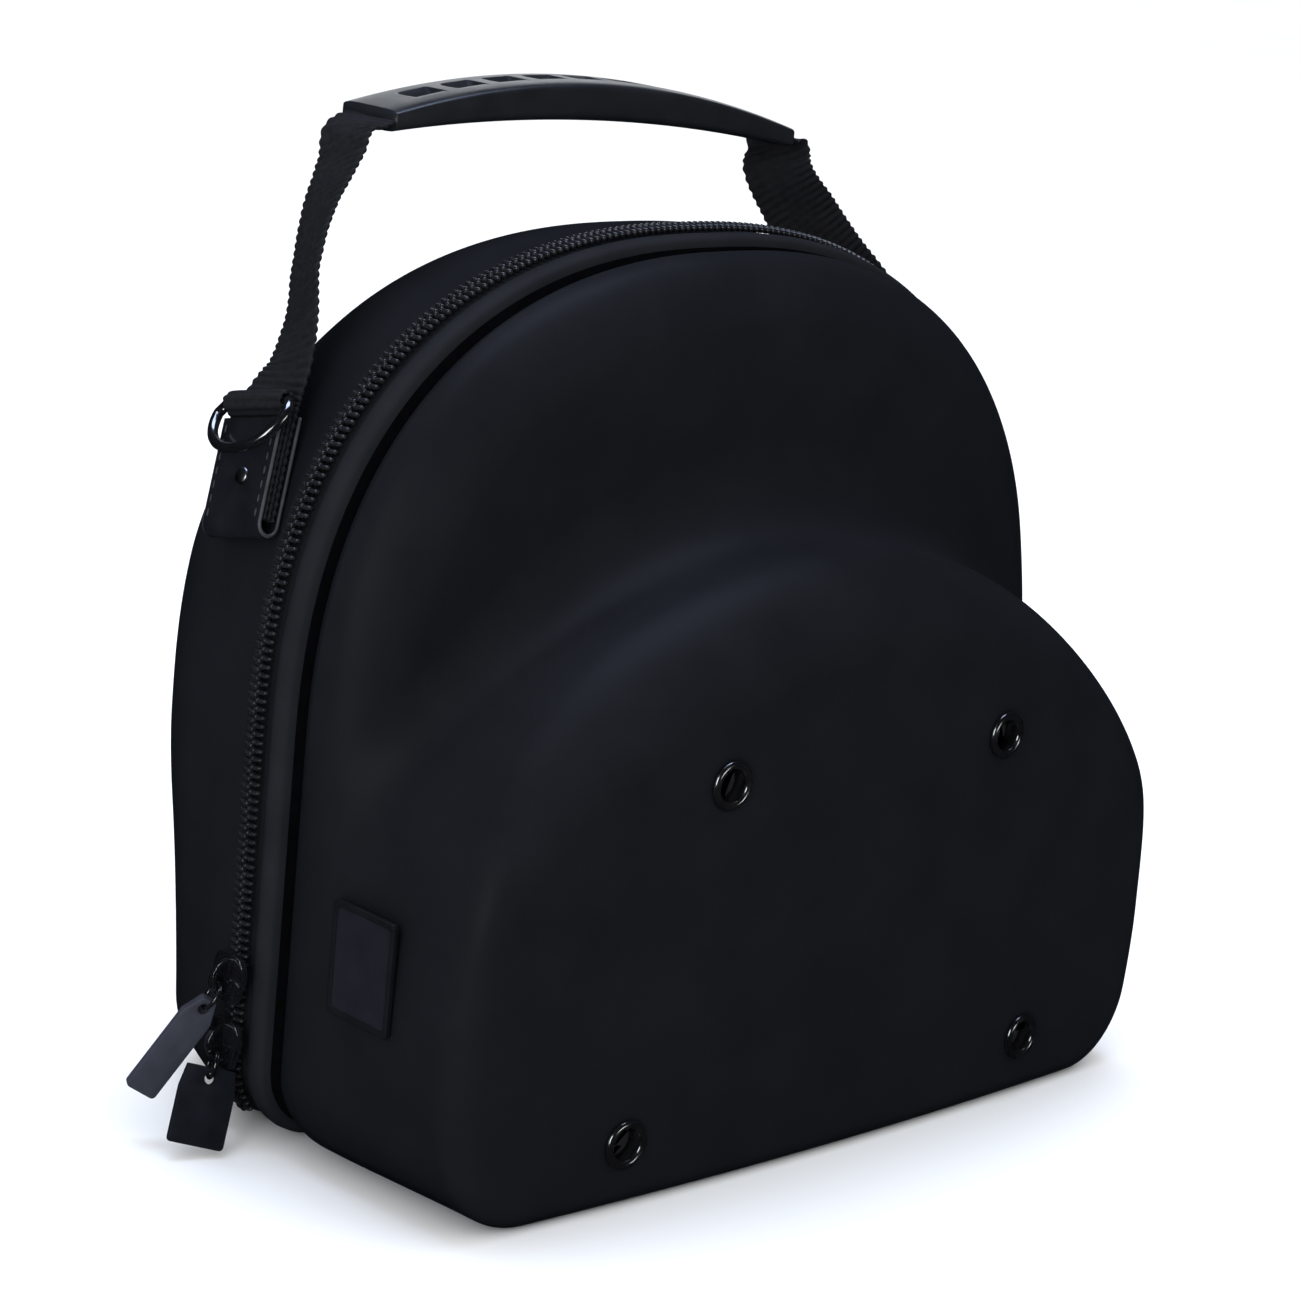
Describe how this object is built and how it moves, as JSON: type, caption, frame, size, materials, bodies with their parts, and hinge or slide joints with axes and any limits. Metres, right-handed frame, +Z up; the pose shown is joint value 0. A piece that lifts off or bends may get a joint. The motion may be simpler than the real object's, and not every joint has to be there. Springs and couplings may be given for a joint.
{
  "type": "cap carrier",
  "caption": "Moulded clamshell carrying case for caps: deep stepped front, rounded rear half, zip all round, webbing handle with a moulded grip and D-rings at its sides.",
  "frame": {"origin": "on the flat base of the rear shell, midway between the sides and 30 mm behind the zip plane", "axes": "+Z up, front face towards -Y, +X to the right as seen from the front"},
  "size_m": [0.3368, 0.1714, 0.3074],
  "materials": {
    "moulded_cloth": "fine smooth cloth laminated on moulded foam, near black with a slight blue cast",
    "gusset": "plain black woven tape",
    "coil": "semi-gloss black nylon coil",
    "black_metal": "glossy black enamel",
    "webbing": "ribbed black webbing",
    "moulded_rubber": "smooth black rubber with a slight sheen",
    "shiny_vinyl": "glossy black patent vinyl"
  },
  "bodies": {
    "back_half": {"back_shell": "moulded_cloth", "back_band": "gusset", "zip_coil_back": "coil", "slider_upper": "black_metal", "slider_lower": "black_metal", "pull_ring_upper": "black_metal", "pull_ring_lower": "black_metal", "pull_tab_long": "moulded_rubber", "pull_tab_square": "moulded_rubber", "strap_left": "webbing", "strap_right": "webbing", "grip": "moulded_rubber", "tab_left": "shiny_vinyl", "tab_right": "shiny_vinyl", "loop_left": "webbing", "loop_right": "webbing", "d_ring_left": "black_metal", "d_ring_right": "black_metal"},
    "front_half": {"front_shell": "moulded_cloth", "front_band": "gusset", "zip_coil_front": "coil", "eyelet_top_left": "black_metal", "eyelet_top_right": "black_metal", "eyelet_base_left": "black_metal", "eyelet_base_right": "black_metal", "patch": "moulded_rubber"}
  },
  "joints": [
    {"name": "shell_hinge", "type": "hinge", "parent": "back_half", "child": "front_half", "pos_m": [0, -0.03, 0.0009], "axis": [1, 0, 0], "range_deg": [0, 160]}
  ]
}
